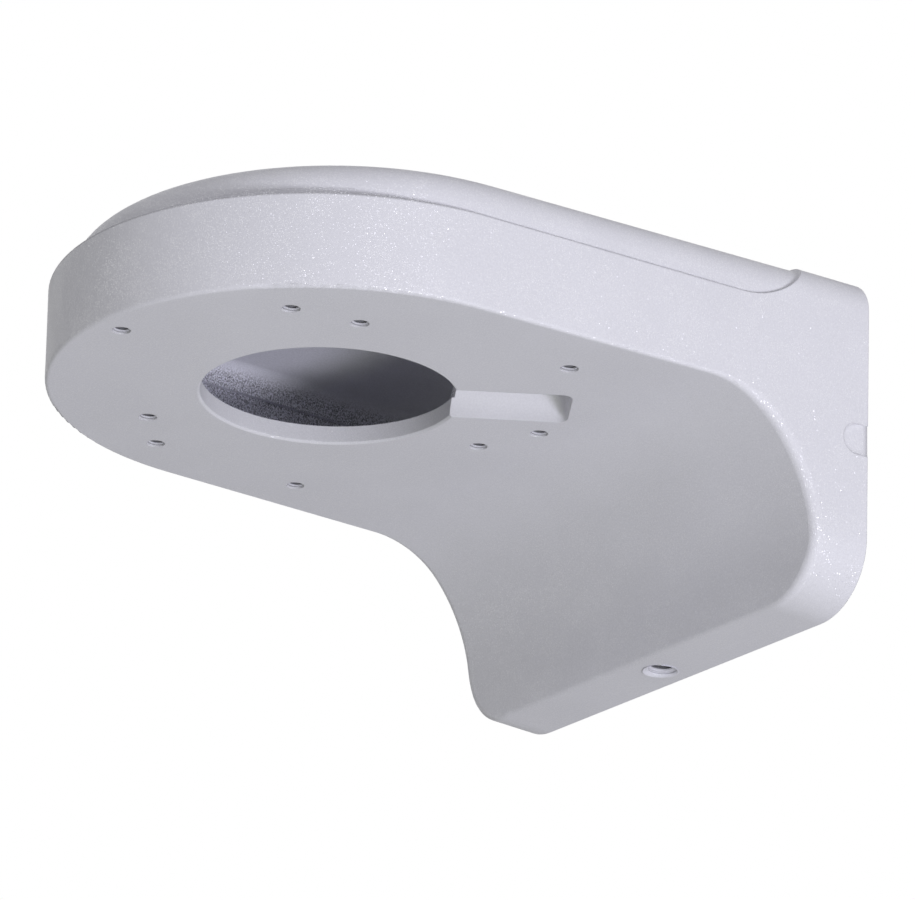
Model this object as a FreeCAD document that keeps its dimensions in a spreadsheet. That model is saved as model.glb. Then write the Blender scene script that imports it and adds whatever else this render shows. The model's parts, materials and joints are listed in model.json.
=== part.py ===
import FreeCAD, Part
import Sketcher
import math
import os

# A die-cast wall bracket for a small dome camera. A hollow round-nosed arm flows down in one sweep into a
# shallow box against the wall. The casting hangs on a folded steel plate and a set screw from below locks it.
# Origin: centre of the four wall holes, on the wall. +Y into the wall, +Z up, the arm reaches out along -Y.

SIZES = [
    ("nose_radius", 61.5, "radius of the arm's round nose"),
    ("arm_reach", 97.3, "from the wall to the centre of the cable hole"),
    ("side_flare", 2.29, "degrees that each side opens towards the wall"),
    ("back_height", 76.4, "height of the casting on the wall"),
    ("leg_drop", 43.6, "from the arm's underside down to the bottom face"),
    ("foot_depth", 13.6, "depth of the bottom face, from the wall"),
    ("top_round", 8.2, "rounding along the top edge"),
    ("foot_round", 15.6, "rounding of the two lower corners"),
    ("sweep_upper", 24.5, "radius of the sweep where it leaves the arm"),
    ("sweep_lower", 38.0, "radius of the sweep where it meets the leg"),
    ("sweep_join", 42.0, "degrees of the lower arc of the sweep"),
    ("side_draft", 1.0, "degrees that the sides open upwards"),
    ("foot_draft", 2.3, "degrees that the bottom face rises from the wall to the front"),
    ("lip_round", 0.9, "rounding between the sides and the underside"),
    ("lip_leg", 2.2, "the same rounding, grown along the sweep, down the sides of the leg's face"),
    ("lip_foot", 1.3, "the same rounding along the bottom of the leg's face"),
    ("wall", 3.0, "wall of the casting"),
    ("floor_thick", 4.2, "floor of the arm round the cable hole"),
    ("crown_height", 20.9, "from the underside up to the step of the crown"),
    ("crown_inset", 0.5, "how far the crown stands back from the sides"),
    ("crown_stop", 33.8, "from the wall to where the step turns upwards"),
    ("crown_bend", 20.0, "radius of that turn"),
    ("crown_round", 7.6, "rounding of the crown's edge"),
    ("crown_set_back", 4.2, "how much further the crown's nose stands back at the tip"),
    ("crown_slope", 0.5, "degrees that the crown falls towards the nose"),
    ("inner_step", 23.0, "height of the same step inside, above the underside"),
    ("cable_bore", 56.0, "diameter of the cable hole"),
    ("cable_edge", 0.5, "chamfer of the cable hole's rim"),
    ("cable_relief", 0.6, "how far the groove's cover stands back from the cable hole"),
    ("groove_radius", 8.0, "radius of the half-round cable groove"),
    ("groove_end", 52.6, "from the cable hole's centre to the groove's end"),
    ("groove_turn", 31.4, "degrees of the groove from the wall, towards +X"),
    ("groove_wall", 2.6, "wall over the groove"),
    ("groove_corner", 2.5, "rounding inside the groove's end"),
    ("circle_small", 85.2, "first screw circle"),
    ("circle_middle", 99.2, "second screw circle"),
    ("circle_large", 110.8, "third screw circle"),
    ("turn_small", 4.6, "degrees of the first circle from the wall, towards -X"),
    ("turn_middle", -13.3, "degrees of the second circle"),
    ("turn_large", 63.7, "degrees of the third circle"),
    ("camera_screw", 4.0, "thread of the camera screws"),
    ("camera_boss", 9.0, "diameter of the bosses round them"),
    ("boss_rise", 5.0, "how far the bosses stand on the floor"),
    ("port_screw", 6.0, "thread of the lock screw's port"),
    ("port_lead", 1.15, "chamfer at its mouth"),
    ("port_set", 7.0, "from the wall to the port's axis"),
    ("port_side", 1.6, "the port's axis from the middle, towards +X"),
    ("port_boss", 9.4, "diameter of the boss round the port"),
    ("port_depth", 8.0, "length of the port from the bottom face"),
    ("notch_width", 7.1, "width of the cable notch in the side"),
    ("notch_length", 6.5, "length of the notch, from the wall"),
    ("notch_depth", 0.3, "depth of the notch at the wall"),
    ("notch_tilt", 9.0, "degrees that its floor sinks towards the round end"),
    ("notch_drop", 6.0, "from the arm's underside down to the notch's middle"),
    ("rib_depth", 6.0, "depth of the ribs inside the sweep"),
    ("rib_thick", 2.4, "thickness of those ribs"),
    ("rib_spread", 76.0, "distance between them"),
    ("plate_thick", 2.0, "sheet of the wall plate"),
    ("plate_width", 118.0, "width of the wall plate"),
    ("plate_half", 24.5, "half the height of the wall plate"),
    ("plate_corner", 6.0, "rounding of its corners"),
    ("bend_inside", 1.0, "inside radius of its folds"),
    ("window_width", 56.0, "width of its cable window"),
    ("window_height", 34.0, "height of the window"),
    ("window_corner", 8.0, "rounding of the window"),
    ("wall_hole", 5.5, "holes for the wall screws"),
    ("wall_span_x", 92.0, "their distance across"),
    ("wall_span_z", 36.0, "their distance up and down"),
    ("hook_level", 28.5, "height on which the casting hangs"),
    ("hook_width", 16.0, "width of each hook"),
    ("hook_spread", 64.0, "distance between the hooks"),
    ("hook_slot", 5.5, "gap behind the upturned tip of a hook"),
    ("hook_tip", 4.5, "height of the tip above the hanging level"),
    ("hook_neck", 4.0, "from the plate's edge up to the hanging level"),
    ("rail_thick", 3.4, "thickness of the cast rail that hangs in the hooks"),
    ("rail_over", 6.0, "how far the rail runs past the hooks"),
    ("tongue_width", 34.0, "width of the plate's lower tongue"),
    ("tongue_gap", 0.4, "gap of the tongue from the port's boss and the leg"),
    ("lock_hole", 4.4, "hole in the tongue for the lock screw's tip"),
    ("lock_recess", 2.0, "how deep the lock screw sits in its port"),
    ("lock_play", 0.1, "play of the lock screw's thread"),
    ("lock_tip", 4.0, "diameter of its tip"),
    ("lock_tip_length", 3.2, "length of its tip"),
    ("lock_key", 3.0, "its hexagon socket, across the flats"),
    ("lock_key_depth", 2.8, "depth of the socket"),
    ("lock_edge", 0.5, "chamfer of its ends"),
    ("clear_cut", 5.0, "how far a cutting form runs past what it cuts"),
]

doc = FreeCAD.newDocument("camera_wall_bracket")
sheet = doc.addObject("Spreadsheet::Sheet", "Sizes")


class Size:
    """A size with its value and its formula over the sheet."""

    def __init__(self, value, text):
        self.value = value
        self.text = text

    def __add__(self, other):
        return combine(self, "+", other)

    def __sub__(self, other):
        return combine(self, "-", other)

    def __mul__(self, other):
        return combine(self, "*", other)

    def __truediv__(self, other):
        return combine(self, "/", other)

    def __neg__(self):
        return Size(0.0, "0") - self


def combine(first, sign, second):
    if not isinstance(second, Size):
        second = Size(float(second), repr(second))
    value = {
        "+": first.value + second.value,
        "-": first.value - second.value,
        "*": first.value * second.value,
        "/": first.value / (second.value or 1.0),
    }[sign]
    return Size(value, f"({first.text} {sign} {second.text})")


def sine(angle):
    return Size(math.sin(math.radians(angle.value)), f"sin({angle.text})")


def cosine(angle):
    return Size(math.cos(math.radians(angle.value)), f"cos({angle.text})")


class Table:
    """The sheet's sizes, read by name."""


at = Table()
for row, (alias, number, meaning) in enumerate(SIZES, start=1):
    sheet.set(f"A{row}", alias)
    sheet.set(f"B{row}", str(number))
    sheet.set(f"C{row}", meaning)
    sheet.setAlias(f"B{row}", alias)
    setattr(at, alias, Size(float(number), f"Sizes.{alias}"))
doc.recompute()

ZERO = Size(0.0, "0")
top = at.back_height / 2
bottom = -top
underside = bottom + at.leg_drop
arm_floor = underside + at.floor_thick
hole_y = -at.arm_reach
half_back = (at.nose_radius + at.arm_reach * sine(at.side_flare)) / cosine(at.side_flare)
sweep_run = at.sweep_lower - (at.sweep_lower - at.sweep_upper) * cosine(at.sweep_join)


def bind(item, path, size):
    """Ties a property to a size's formula."""
    item.setExpression(path, size.text)


def fix(sketch, kind, places, size):
    """Adds a constraint that keeps to a size's formula."""
    index = sketch.addConstraint(Sketcher.Constraint(kind, *places, size.value))
    sketch.setExpression(f"Constraints[{index}]", size.text)


def attach(item, body, role, offset):
    """Lays a sketch or a plane on one of the body's own planes, moved along that plane's normal."""
    plane = next(feature for feature in body.Origin.OriginFeatures if feature.Role == role)
    item.AttachmentSupport = (plane, [""])
    item.MapMode = "FlatFace"
    bind(item, "AttachmentOffset.Base.z", offset)


def sketch_on(body, name, role, offset=ZERO):
    """An empty sketch on one of the body's own planes."""
    sketch = body.newObject("Sketcher::SketchObject", name)
    attach(sketch, body, role, offset)
    return sketch


def place_point(sketch, geometry, point, across, up):
    """Ties a point of a sketch to the sketch's origin."""
    fix(sketch, "DistanceX", (-1, 1, geometry, point), across)
    fix(sketch, "DistanceY", (-1, 1, geometry, point), up)


def polygon(sketch, points):
    """A closed outline of straight lines through points given as sizes."""
    corners = [FreeCAD.Vector(across.value, up.value, 0) for across, up in points]
    count = len(corners)
    for i in range(count):
        sketch.addGeometry(Part.LineSegment(corners[i], corners[(i + 1) % count]))
    for i in range(count):
        sketch.addConstraint(Sketcher.Constraint("Coincident", i, 2, (i + 1) % count, 1))
    for i, (across, up) in enumerate(points):
        place_point(sketch, i, 1, across, up)


def circle(sketch, across, up, radius):
    centre = FreeCAD.Vector(across.value, up.value, 0)
    index = sketch.addGeometry(Part.Circle(centre, FreeCAD.Vector(0, 0, 1), radius.value))
    place_point(sketch, index, 3, across, up)
    fix(sketch, "Radius", (index,), radius)


def pad(body, sketch, length, symmetric=False):
    feature = body.newObject("PartDesign::Pad", sketch.Name + "_pad")
    feature.Profile = sketch
    if symmetric:
        feature.SideType = "Symmetric"
    bind(feature, "Length", length)
    sketch.Visibility = False
    doc.recompute()
    return feature


def pocket(body, sketch, length, symmetric=False):
    before = body.Tip.Shape.Volume
    feature = body.newObject("PartDesign::Pocket", sketch.Name + "_pocket")
    feature.Profile = sketch
    if symmetric:
        feature.SideType = "Symmetric"
    bind(feature, "Length", length)
    doc.recompute()
    if feature.Shape.Volume > before - 1e-6:
        raise RuntimeError(f"{feature.Name} cuts nothing")
    return feature


def round_edges(body, name, wanted, radius):
    """Rounds the edges of the body that wanted picks."""
    base = body.Tip
    names = [f"Edge{i}" for i, edge in enumerate(base.Shape.Edges, start=1) if wanted(edge)]
    feature = body.newObject("PartDesign::Fillet", name)
    feature.Base = (base, names)
    bind(feature, "Radius", radius)
    doc.recompute()
    return feature


def near(first, second):
    return abs(first - second) < 1e-4


def level_edge(level):
    """Picks the edges at one height, apart from the one along the back."""

    def wanted(edge):
        box = edge.BoundBox
        return near(box.ZMin, level.value) and near(box.ZMax, level.value) and box.YMin < 0

    return wanted


def along_x(y, z):
    """Picks the straight edges along X at one Y and Z."""

    def wanted(edge):
        box = edge.BoundBox
        straight = near(box.YMin, box.YMax) and near(box.ZMin, box.ZMax) and box.XLength > 0.1
        return straight and near(box.YMin, y.value) and near(box.ZMin, z.value)

    return wanted


# Forms of the casting


def plan(body, inset, set_back):
    """The arm seen from above: a round nose, two sides that flare from it, and a straight back."""
    sketch = sketch_on(body, body.Name + "_plan", "XY_Plane", underside)
    radius = at.nose_radius - inset + set_back * sine(at.side_flare)
    reach = at.arm_reach - set_back
    slope = Size(90.0, "90") - at.side_flare
    flare = math.radians(at.side_flare.value)
    centre = FreeCAD.Vector(0, -reach.value, 0)
    corner_x = radius.value / math.cos(flare) + (reach + at.clear_cut).value * math.tan(flare)
    touch = centre + FreeCAD.Vector(radius.value * math.cos(flare), -radius.value * math.sin(flare), 0)
    right = FreeCAD.Vector(corner_x, at.clear_cut.value, 0)
    left = FreeCAD.Vector(-corner_x, at.clear_cut.value, 0)
    nose = Part.Circle(centre, FreeCAD.Vector(0, 0, 1), radius.value)
    sketch.addGeometry(Part.ArcOfCircle(nose, math.pi + flare, 2 * math.pi - flare))
    sketch.addGeometry(Part.LineSegment(touch, right))
    sketch.addGeometry(Part.LineSegment(right, left))
    sketch.addGeometry(Part.LineSegment(left, FreeCAD.Vector(-touch.x, touch.y, 0)))
    sketch.addConstraint(Sketcher.Constraint("Tangent", 0, 2, 1, 1))
    sketch.addConstraint(Sketcher.Constraint("Coincident", 1, 2, 2, 1))
    sketch.addConstraint(Sketcher.Constraint("Coincident", 2, 2, 3, 1))
    sketch.addConstraint(Sketcher.Constraint("Tangent", 3, 2, 0, 1))
    sketch.addConstraint(Sketcher.Constraint("Symmetric", 2, 1, 2, 2, -2))
    fix(sketch, "DistanceX", (-1, 1, 0, 3), ZERO)
    fix(sketch, "DistanceY", (0, 3, -1, 1), reach)
    fix(sketch, "DistanceY", (-1, 1, 2, 1), at.clear_cut)
    fix(sketch, "Radius", (0,), radius)
    sketch.addConstraint(Sketcher.Constraint("Angle", 1, math.radians(slope.value)))
    sketch.setExpression(f"Constraints[{sketch.ConstraintCount - 1}]", slope.text)
    return sketch


def upright(face):
    """Whether a face stands upright and isn't the flat back."""
    normal = face.normalAt(*face.Surface.parameter(face.CenterOfMass))
    return abs(normal.z) < 1e-3 and normal.y < 0.9


def prism(name, inset, set_back, low, high):
    """The plan carried up and down from the level of the arm's underside."""
    body = doc.addObject("PartDesign::Body", name)
    feature = body.newObject("PartDesign::Pad", name + "_pad")
    feature.Profile = plan(body, inset, set_back)
    feature.SideType = "Two sides"
    bind(feature, "Length", high - underside)
    bind(feature, "Length2", underside - low)
    doc.recompute()
    return body


def faces_down(face):
    """Whether a face is the flat bottom."""
    return face.normalAt(*face.Surface.parameter(face.CenterOfMass)).z < -0.9


def draft(body, name, wanted, role, offset, angle, reverse):
    """Leans the picked faces by an angle about the line where they meet a plane."""
    plane = body.newObject("PartDesign::Plane", name + "_plane")
    attach(plane, body, role, offset)
    doc.recompute()
    base = body.Tip
    names = [f"Face{i}" for i, face in enumerate(base.Shape.Faces, start=1) if wanted(face)]
    feature = body.newObject("PartDesign::Draft", name)
    feature.Base = (base, names)
    feature.NeutralPlane = (plane, [""])
    feature.Reversed = reverse
    bind(feature, "Angle", angle)
    doc.recompute()


def bottom_edge(edge):
    """Picks the edges between the bottom face and the sides."""
    box = edge.BoundBox
    return box.ZMax < underside.value - at.leg_drop.value / 2 and box.YLength > 1e-3


def lower_form(name, inset):
    """The whole height of the casting, with rounded top and lower corners."""
    body = prism(name, inset, ZERO, bottom + inset, top - inset)
    draft(body, name + "_side_draft", upright, "XY_Plane", underside, at.side_draft, True)
    draft(body, name + "_foot_draft", faces_down, "XZ_Plane", ZERO, at.foot_draft, False)
    round_edges(body, name + "_top_round", level_edge(top - inset), at.top_round - inset)
    round_edges(body, name + "_foot_round", bottom_edge, at.foot_round - inset)
    return body


def upper_form(name, inset):
    """The crown, which stands back from the sides, further back at the tip, and falls towards it."""
    roof = top - at.crown_inset - inset
    body = prism(name, at.crown_inset + inset, at.crown_set_back, underside, roof)
    round_edges(body, name + "_round", level_edge(roof), at.crown_round - inset)
    body.Placement.Rotation = FreeCAD.Rotation(0, 0, at.crown_slope.value)
    return body


def sweep_form(name, offset):
    """What lies below the arm and in front of the leg. Two tangent arcs join the underside to the leg's face."""
    body = doc.addObject("PartDesign::Body", name)
    sketch = sketch_on(body, name + "_profile", "YZ_Plane")
    upper = at.sweep_upper + offset
    lower = at.sweep_lower + offset
    level = underside + offset
    foot = at.foot_depth - offset
    front = at.arm_reach + at.nose_radius + at.clear_cut
    low = top + at.clear_cut
    join = math.radians(at.sweep_join.value)
    lower_y = -foot.value - lower.value
    upper_y = lower_y + (lower.value - upper.value) * math.cos(join)
    upper_z = level.value - upper.value
    lower_z = upper_z - (lower.value - upper.value) * math.sin(join)
    upper_centre = FreeCAD.Vector(upper_y, upper_z, 0)
    lower_centre = FreeCAD.Vector(lower_y, lower_z, 0)
    up = FreeCAD.Vector(0, 0, 1)
    corners = [
        FreeCAD.Vector(-front.value, level.value, 0),
        FreeCAD.Vector(upper_y, level.value, 0),
        FreeCAD.Vector(-foot.value, lower_z, 0),
        FreeCAD.Vector(-foot.value, -low.value, 0),
        FreeCAD.Vector(-front.value, -low.value, 0),
    ]
    sketch.addGeometry(Part.LineSegment(corners[0], corners[1]))
    sketch.addGeometry(Part.ArcOfCircle(Part.Circle(upper_centre, up, upper.value), join, math.pi / 2))
    sketch.addGeometry(Part.ArcOfCircle(Part.Circle(lower_centre, up, lower.value), 0, join))
    sketch.addGeometry(Part.LineSegment(corners[2], corners[3]))
    sketch.addGeometry(Part.LineSegment(corners[3], corners[4]))
    sketch.addGeometry(Part.LineSegment(corners[4], corners[0]))
    sketch.addConstraint(Sketcher.Constraint("Tangent", 0, 2, 1, 2))
    sketch.addConstraint(Sketcher.Constraint("Tangent", 1, 1, 2, 2))
    sketch.addConstraint(Sketcher.Constraint("Tangent", 2, 1, 3, 1))
    sketch.addConstraint(Sketcher.Constraint("Coincident", 3, 2, 4, 1))
    sketch.addConstraint(Sketcher.Constraint("Coincident", 4, 2, 5, 1))
    sketch.addConstraint(Sketcher.Constraint("Coincident", 5, 2, 0, 1))
    sketch.addConstraint(Sketcher.Constraint("Horizontal", 0))
    sketch.addConstraint(Sketcher.Constraint("Vertical", 3))
    sketch.addConstraint(Sketcher.Constraint("Horizontal", 4))
    sketch.addConstraint(Sketcher.Constraint("Vertical", 5))
    fix(sketch, "Radius", (1,), upper)
    fix(sketch, "Radius", (2,), lower)
    sketch.addConstraint(Sketcher.Constraint("Angle", 2, join))
    sketch.setExpression(f"Constraints[{sketch.ConstraintCount - 1}]", at.sweep_join.text)
    fix(sketch, "DistanceY", (-1, 1, 0, 1), level)
    fix(sketch, "DistanceX", (3, 1, -1, 1), foot)
    fix(sketch, "DistanceY", (4, 1, -1, 1), low)
    fix(sketch, "DistanceX", (5, 1, -1, 1), front)
    pad(body, sketch, (half_back + at.clear_cut) * 2, symmetric=True)
    return body


def crown_form(name, level):
    """The space of the crown: all above one height, up to a turn that rises in front of the wall."""
    body = doc.addObject("PartDesign::Body", name)
    sketch = sketch_on(body, name + "_profile", "YZ_Plane")
    front = at.arm_reach + at.nose_radius + at.clear_cut
    bend = at.crown_bend.value
    start = -at.crown_stop.value
    roof = level.value + bend + at.clear_cut.value
    turn = Part.Circle(FreeCAD.Vector(start, level.value + bend, 0), FreeCAD.Vector(0, 0, 1), bend)
    corners = [
        FreeCAD.Vector(-front.value, level.value, 0),
        FreeCAD.Vector(start, level.value, 0),
        FreeCAD.Vector(start + bend, level.value + bend, 0),
        FreeCAD.Vector(start + bend, roof, 0),
        FreeCAD.Vector(-front.value, roof, 0),
    ]
    sketch.addGeometry(Part.LineSegment(corners[0], corners[1]))
    sketch.addGeometry(Part.ArcOfCircle(turn, -math.pi / 2, 0))
    sketch.addGeometry(Part.LineSegment(corners[2], corners[3]))
    sketch.addGeometry(Part.LineSegment(corners[3], corners[4]))
    sketch.addGeometry(Part.LineSegment(corners[4], corners[0]))
    sketch.addConstraint(Sketcher.Constraint("Tangent", 0, 2, 1, 1))
    sketch.addConstraint(Sketcher.Constraint("Tangent", 1, 2, 2, 1))
    sketch.addConstraint(Sketcher.Constraint("Coincident", 2, 2, 3, 1))
    sketch.addConstraint(Sketcher.Constraint("Coincident", 3, 2, 4, 1))
    sketch.addConstraint(Sketcher.Constraint("Coincident", 4, 2, 0, 1))
    sketch.addConstraint(Sketcher.Constraint("Horizontal", 0))
    sketch.addConstraint(Sketcher.Constraint("Vertical", 2))
    sketch.addConstraint(Sketcher.Constraint("Horizontal", 3))
    sketch.addConstraint(Sketcher.Constraint("Vertical", 4))
    fix(sketch, "Radius", (1,), at.crown_bend)
    fix(sketch, "DistanceY", (-1, 1, 0, 1), level)
    fix(sketch, "DistanceX", (0, 2, -1, 1), at.crown_stop)
    fix(sketch, "DistanceX", (0, 1, -1, 1), front)
    fix(sketch, "DistanceY", (2, 1, 2, 2), at.clear_cut)
    pad(body, sketch, (half_back + at.clear_cut) * 2, symmetric=True)
    return body


# Joining and cutting of forms


def cut(name, base, tool):
    item = doc.addObject("Part::Cut", name)
    item.Base = base
    item.Tool = tool
    item.Refine = True
    return item


def common(name, items):
    item = doc.addObject("Part::MultiCommon", name)
    item.Shapes = items
    item.Refine = True
    return item


def fuse(name, items):
    item = doc.addObject("Part::MultiFuse", name)
    item.Shapes = items
    item.Refine = True
    return item


def soften(kind, name, base, wanted, size):
    """Rounds or chamfers picked edges of a joined solid."""
    doc.recompute()
    edges = [(i, size.value, size.value) for i, edge in enumerate(base.Shape.Edges, start=1) if wanted(edge)]
    item = doc.addObject(kind, name)
    item.Base = base
    item.Edges = edges
    doc.recompute()
    return item


def cylinder(name, radius, height, place):
    item = doc.addObject("Part::Cylinder", name)
    bind(item, "Radius", radius)
    bind(item, "Height", height)
    for axis, size in zip("xyz", place):
        bind(item, f"Placement.Base.{axis}", size)
    return item


def cone(name, first, second, height, place):
    item = doc.addObject("Part::Cone", name)
    bind(item, "Radius1", first)
    bind(item, "Radius2", second)
    bind(item, "Height", height)
    for axis, size in zip("xyz", place):
        bind(item, f"Placement.Base.{axis}", size)
    return item


def block(name, spans):
    """A box between two coordinates on each axis."""
    item = doc.addObject("Part::Box", name)
    for side, axis, (low, high) in zip(("Length", "Width", "Height"), "xyz", spans):
        bind(item, side, high - low)
        bind(item, f"Placement.Base.{axis}", low)
    return item


def stepped(name, inset, step):
    """The lower form with the crown set in above the step."""
    space = crown_form(name + "_space", step)
    lower = cut(name + "_lower", lower_form(name + "_full", inset), space)
    crown = upper_form(name + "_crown", inset)
    return fuse(name, [lower, common(name + "_upper", [crown, space])])


# The outside of the casting

outer = stepped("outer", ZERO, underside + at.crown_height)
behind_span = [(-half_back * 2, half_back * 2), (ZERO, at.clear_cut * 2), (bottom * 2, top * 2)]
behind = block("behind_wall", behind_span)
blank = cut("blank", cut("outer_flush", outer, behind), sweep_form("sweep", ZERO))
doc.recompute()


def on_sweep(face):
    """Whether a face belongs to the arm's underside, the sweep or the leg's face."""
    surface = face.Surface
    middle = face.CenterOfMass
    if isinstance(surface, Part.Plane):
        flat_under = near(middle.z, underside.value) and face.BoundBox.ZLength < 1e-3
        flat_leg = near(middle.y, -at.foot_depth.value) and face.BoundBox.YLength < 1e-3
        return flat_under or flat_leg
    if isinstance(surface, Part.Cylinder):
        radii = (at.sweep_upper.value, at.sweep_lower.value)
        return abs(surface.Axis.x) > 0.999 and any(near(surface.Radius, radius) for radius in radii)
    return False


def lip_edge(edge):
    """Picks the edges all round the underside, the sweep and the leg's face."""
    faces = blank.Shape.ancestorsOfType(edge, Part.Face)
    return sum(on_sweep(face) for face in faces) == 1 and edge.BoundBox.YMin < -1e-3


def lip_radius(point):
    """The lip's radius at one end of an edge."""
    if near(point.z, underside.value):
        return at.lip_round.value
    return at.lip_foot.value if point.z < bottom.value + at.foot_depth.value / 2 else at.lip_leg.value


lip_edges = []
for i, edge in enumerate(blank.Shape.Edges, start=1):
    if lip_edge(edge):
        first, last = edge.firstVertex(True).Point, edge.lastVertex(True).Point
        lip_edges.append((i, lip_radius(first), lip_radius(last)))
shell = doc.addObject("Part::Fillet", "shell")
shell.Base = blank
shell.Edges = lip_edges

# The inside: one hollow, open at the wall, with the floor pad, bosses, ribs and rail left standing in it

hollow = stepped("hollow", at.wall, underside + at.inner_step)
reach_out = at.arm_reach + at.nose_radius
pad_end = -(at.foot_depth + sweep_run)
floor_pad = block("floor_pad", [(-half_back, half_back), (-reach_out, pad_end), (underside, arm_floor)])

SCREW_CIRCLES = [
    ("small", at.circle_small, at.turn_small),
    ("middle", at.circle_middle, at.turn_middle),
    ("large", at.circle_large, at.turn_large),
]
screw_places = []
for label, diameter, turn in SCREW_CIRCLES:
    for third in range(3):
        angle = turn + 120 * third
        place = (-(diameter / 2 * sine(angle)), hole_y + diameter / 2 * cosine(angle))
        screw_places.append((f"{label}_{third + 1}", place))

standing = [floor_pad]
for label, (across, along) in screw_places:
    height = at.floor_thick + at.boss_rise
    standing.append(cylinder("boss_" + label, at.camera_boss / 2, height, (across, along, underside)))

groove_start = at.cable_bore / 2 - at.groove_radius
groove_axis = FreeCAD.Rotation(180 - at.groove_turn.value, 0, 90)


def trough(name, radius, end):
    """A cylinder that lies in the underside, along the cable groove."""
    across = groove_start * sine(at.groove_turn)
    along = hole_y + groove_start * cosine(at.groove_turn)
    item = cylinder(name, radius, end - groove_start, (across, along, underside))
    item.Placement.Rotation = groove_axis
    return item


standing.append(trough("groove_cover", at.groove_radius + at.groove_wall, at.groove_end + at.groove_wall))
port_place = (at.port_side, -at.port_set)
standing.append(cylinder("port_boss", at.port_boss / 2, at.port_depth, (*port_place, bottom)))

rail_half = at.hook_spread / 2 + at.hook_width / 2 + at.rail_over
rail_middle = -(at.plate_thick + at.hook_slot / 2)
rail_span = (rail_middle - at.rail_thick / 2, rail_middle + at.rail_thick / 2)
standing.append(block("rail", [(-rail_half, rail_half), rail_span, (at.hook_level, top)]))

rib_space = sweep_form("rib_space", at.wall + at.rib_depth)
for label, side in (("left", -1), ("right", 1)):
    middle = at.rib_spread / 2 * side
    span = (middle - at.rib_thick / 2, middle + at.rib_thick / 2)
    slab = block("rib_slab_" + label, [span, (pad_end - at.rib_depth, ZERO), (bottom, top)])
    standing.append(common("rib_" + label, [rib_space, slab]))

kept = fuse("kept_inside", standing)
core = cut("core", cut("core_blank", hollow, sweep_form("inner_sweep", at.wall)), kept)
casting = cut("casting", shell, core)

# The cable hole, with its rim rounded before anything crosses it

bore_radius = at.cable_bore / 2
bore_start = (ZERO, hole_y, underside - at.clear_cut)
bore = cylinder("cable_bore_cut", bore_radius, at.floor_thick + at.clear_cut, bore_start)
relief_height = at.groove_radius + at.clear_cut
relief = cylinder("cable_relief_cut", bore_radius + at.cable_relief, relief_height, (ZERO, hole_y, arm_floor))
bored = cut("bored", casting, fuse("cable_cuts", [bore, relief]))


def rim_edge(edge):
    """Picks the cable hole's lower rim."""
    box = edge.BoundBox
    flat = near(box.ZMin, underside.value) and near(box.ZMax, underside.value)
    return flat and isinstance(edge.Curve, Part.Circle) and near(edge.Curve.Radius, at.cable_bore.value / 2)


rimmed = soften("Part::Chamfer", "rimmed", bored, rim_edge, at.cable_edge)

# The cuts: groove, camera screws, lock-screw port and side notch

groove = trough("groove", at.groove_radius, at.groove_end)


def groove_end_edge(edge):
    """Picks the far end circle of the groove's cutting form."""
    along = groove_axis.multVec(FreeCAD.Vector(0, 0, at.groove_end.value))
    end = FreeCAD.Vector(0, hole_y.value, underside.value) + along
    return isinstance(edge.Curve, Part.Circle) and edge.Curve.Center.distanceToPoint(end) < 0.01


cuts = [soften("Part::Fillet", "groove_cut", groove, groove_end_edge, at.groove_corner)]
for label, (across, along) in screw_places:
    height = at.floor_thick + at.boss_rise + at.clear_cut * 2
    place = (across, along, underside - at.clear_cut)
    cuts.append(cylinder("screw_" + label, at.camera_screw / 2, height, place))

port_start = (*port_place, bottom - at.clear_cut)
port_wide = at.port_screw / 2 + at.port_lead + at.clear_cut
cuts.append(cylinder("port_bore", at.port_screw / 2, at.port_depth + at.clear_cut * 1.5, port_start))
cuts.append(cone("port_mouth", port_wide, at.port_screw / 2, at.port_lead + at.clear_cut, port_start))

notch = doc.addObject("PartDesign::Body", "notch_cut")
notch_sketch = sketch_on(notch, "notch_profile", "YZ_Plane")
notch_level = underside - at.notch_drop
notch_half = at.notch_width / 2
round_y = notch_half - at.notch_length
arc_centre = FreeCAD.Vector(round_y.value, notch_level.value, 0)
notch_circle = Part.Circle(arc_centre, FreeCAD.Vector(0, 0, 1), notch_half.value)
notch_corners = [
    FreeCAD.Vector(round_y.value, notch_level.value - notch_half.value, 0),
    FreeCAD.Vector(at.clear_cut.value, notch_level.value - notch_half.value, 0),
    FreeCAD.Vector(at.clear_cut.value, notch_level.value + notch_half.value, 0),
    FreeCAD.Vector(round_y.value, notch_level.value + notch_half.value, 0),
]
notch_sketch.addGeometry(Part.ArcOfCircle(notch_circle, math.pi / 2, 3 * math.pi / 2))
for first, second in zip(notch_corners, notch_corners[1:]):
    notch_sketch.addGeometry(Part.LineSegment(first, second))
notch_sketch.addConstraint(Sketcher.Constraint("Tangent", 0, 2, 1, 1))
notch_sketch.addConstraint(Sketcher.Constraint("Coincident", 1, 2, 2, 1))
notch_sketch.addConstraint(Sketcher.Constraint("Coincident", 2, 2, 3, 1))
notch_sketch.addConstraint(Sketcher.Constraint("Tangent", 3, 2, 0, 1))
notch_sketch.addConstraint(Sketcher.Constraint("Horizontal", 1))
notch_sketch.addConstraint(Sketcher.Constraint("Vertical", 2))
fix(notch_sketch, "Radius", (0,), notch_half)
place_point(notch_sketch, 0, 3, round_y, notch_level)
fix(notch_sketch, "DistanceX", (-1, 1, 1, 2), at.clear_cut)
pad(notch, notch_sketch, at.clear_cut)
notch.Placement.Rotation = FreeCAD.Rotation(-at.notch_tilt.value, 0, 0)
bind(notch, "Placement.Base.x", half_back - at.notch_depth)
cuts.append(notch)

bracket = cut("bracket_body", rimmed, fuse("all_cuts", cuts))
bracket.Label = "bracket_body"

# The wall plate: steel sheet with two hooks folded from its top edge and a tongue folded from its lower edge

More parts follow.
